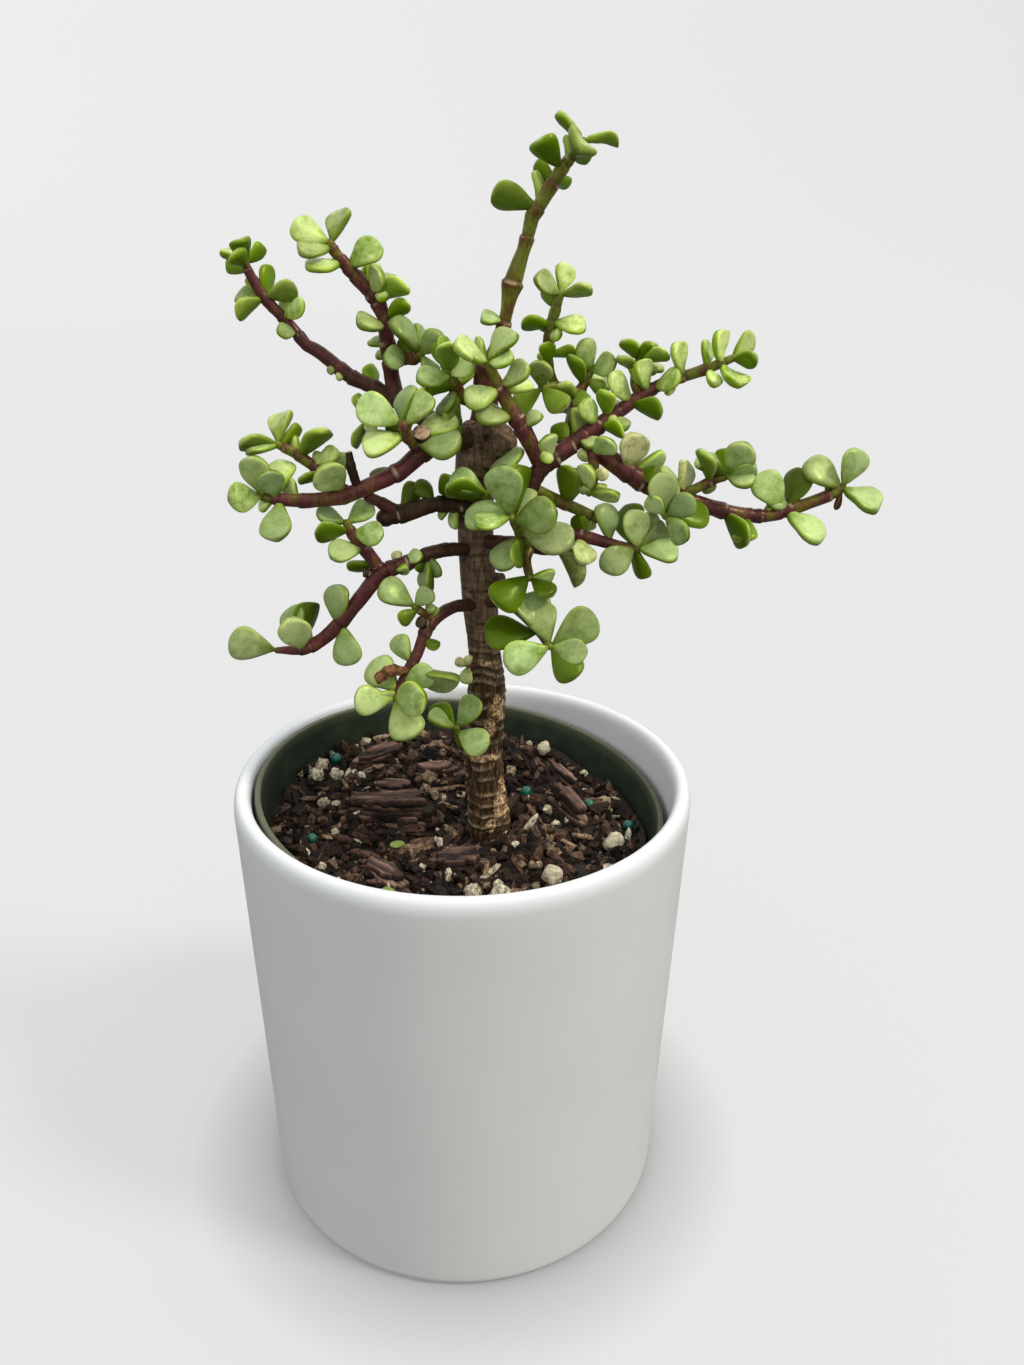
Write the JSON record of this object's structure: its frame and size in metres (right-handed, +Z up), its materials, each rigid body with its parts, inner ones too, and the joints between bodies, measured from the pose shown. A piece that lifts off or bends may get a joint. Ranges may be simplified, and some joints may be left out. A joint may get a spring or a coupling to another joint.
{
  "type": "potted dwarf jade bonsai",
  "caption": "Dwarf jade trained as a small tree, in a plastic nursery pot set inside a plain white ceramic planter.",
  "frame": {"origin": "centre of the planter's underside, where it stands on a table", "axes": "+Z up along the trunk; -Y is the front of the tree, +X to the right of someone facing that front"},
  "size_m": [0.1717, 0.13, 0.3035],
  "materials": {
    "planter_glaze": "satin white glaze",
    "pot_plastic": "dark green moulded plastic",
    "potting_mix": "damp bark and peat crumbs",
    "fir_bark": "split, layered bark",
    "pumice": "pale and porous",
    "fertiliser": "coated prill",
    "tree_bark": "ringed, cracked bark",
    "green_shoot": "smooth waxy leaves on soft stems"
  },
  "bodies": {
    "root": {"planter": "planter_glaze", "nursery_pot": "pot_plastic", "potting_mix": "potting_mix", "bark_chip_1": "fir_bark", "bark_chip_2": "fir_bark", "bark_chip_3": "fir_bark", "bark_chip_4": "fir_bark", "bark_chip_5": "fir_bark", "bark_chip_6": "fir_bark", "bark_chip_7": "fir_bark", "bark_chip_8": "fir_bark", "pumice_stone_1": "pumice", "pumice_stone_2": "pumice", "pumice_stone_3": "pumice", "fertiliser_bead_1": "fertiliser", "fertiliser_bead_2": "fertiliser", "fertiliser_bead_3": "fertiliser", "trunk": "tree_bark", "leader": "tree_bark", "branch_left_upper": "tree_bark", "branch_far_left": "tree_bark", "branch_left": "tree_bark", "stub_left": "tree_bark", "twig_left_link": "tree_bark", "branch_low_left": "tree_bark", "branch_low_front": "tree_bark", "branch_right_mid": "tree_bark", "branch_right_up": "tree_bark", "twig_right_olive": "tree_bark", "branch_right_long": "tree_bark", "shoot_top": "green_shoot", "shoot_left_peak": "green_shoot", "shoot_left_peak_side": "green_shoot", "shoot_far_left": "green_shoot", "shoot_left_rise": "green_shoot", "shoot_left_back": "green_shoot", "shoot_left_tip": "green_shoot", "shoot_low_left_rise": "green_shoot", "shoot_low_left": "green_shoot", "shoot_low_front_side": "green_shoot", "shoot_low_front": "green_shoot", "sprout_base": "green_shoot", "sprout_pale": "green_shoot", "branch_front": "green_shoot", "shoot_right_mid": "green_shoot", "shoot_centre": "green_shoot", "shoot_centre_drop": "green_shoot", "shoot_trunk_front": "green_shoot", "shoot_right_up": "green_shoot", "shoot_right_up_twig": "green_shoot", "shoot_crown": "green_shoot", "shoot_crown_left": "green_shoot", "branch_back": "green_shoot", "shoot_back_left": "green_shoot", "shoot_back_rise": "green_shoot", "shoot_right_inner": "green_shoot", "shoot_right_long_front": "green_shoot", "shoot_right_long_rise": "green_shoot", "shoot_right_long": "green_shoot", "shoot_right_tip": "green_shoot"}
  },
  "joints": []
}
